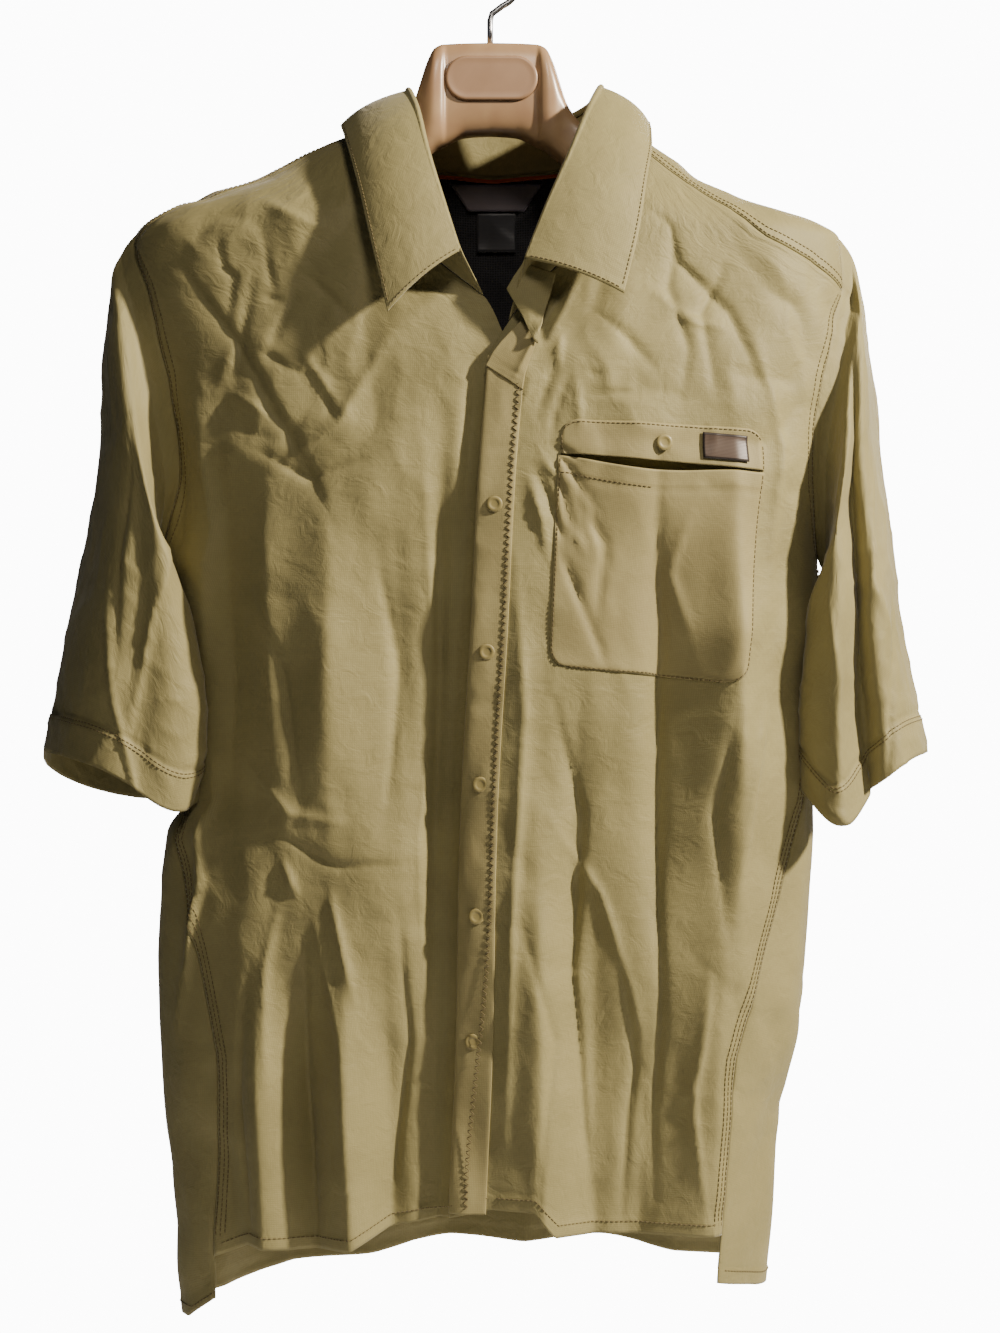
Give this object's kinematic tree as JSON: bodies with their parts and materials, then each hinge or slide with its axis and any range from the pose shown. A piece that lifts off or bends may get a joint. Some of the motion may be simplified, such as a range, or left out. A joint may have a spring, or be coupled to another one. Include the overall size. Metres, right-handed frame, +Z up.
{
  "type": "short-sleeved hiking shirt on a moulded hanger",
  "caption": "Men's short-sleeved snap-front hiking shirt in olive cloth, hanging buttoned on a wide moulded hanger with a wire hook.",
  "frame": {"origin": "inside top of the hanger's hook, where a rod carries it", "axes": "+Z up, the shirt's front faces -Y, +X is the wearer's left"},
  "size_m": [0.5828, 0.1717, 0.8885],
  "materials": {
    "shirt_cloth": "matt woven, olive khaki",
    "trim_cloth": "matt woven, the same cloth in two plies",
    "mesh_lining": "black knitted mesh",
    "neck_tape": "orange piping",
    "label_satin": "dark satin label, bare",
    "pocket_label": "dark woven label, bare",
    "snap": "cloth-coloured enamelled cap",
    "hanger_plastic": "satin moulded, tan",
    "badge_plastic": "satin plate, bare",
    "hook_wire": "polished steel wire"
  },
  "bodies": {
    "root": {"front_right": "shirt_cloth", "front_left": "shirt_cloth", "back": "shirt_cloth", "yoke": "shirt_cloth", "sleeve_right": "shirt_cloth", "sleeve_left": "shirt_cloth", "collar_stand": "shirt_cloth", "collar_fall": "shirt_cloth", "placket": "trim_cloth", "pocket": "trim_cloth", "pocket_strip": "trim_cloth", "yoke_lining": "mesh_lining", "neck_tape": "neck_tape", "neck_label": "label_satin", "size_label": "label_satin", "pocket_label": "pocket_label", "snap_1": "snap", "snap_2": "snap", "snap_3": "snap", "snap_4": "snap", "snap_5": "snap", "snap_pocket": "snap", "hanger": "hanger_plastic", "hanger_badge": "badge_plastic", "hanger_hook": "hook_wire"}
  },
  "joints": []
}
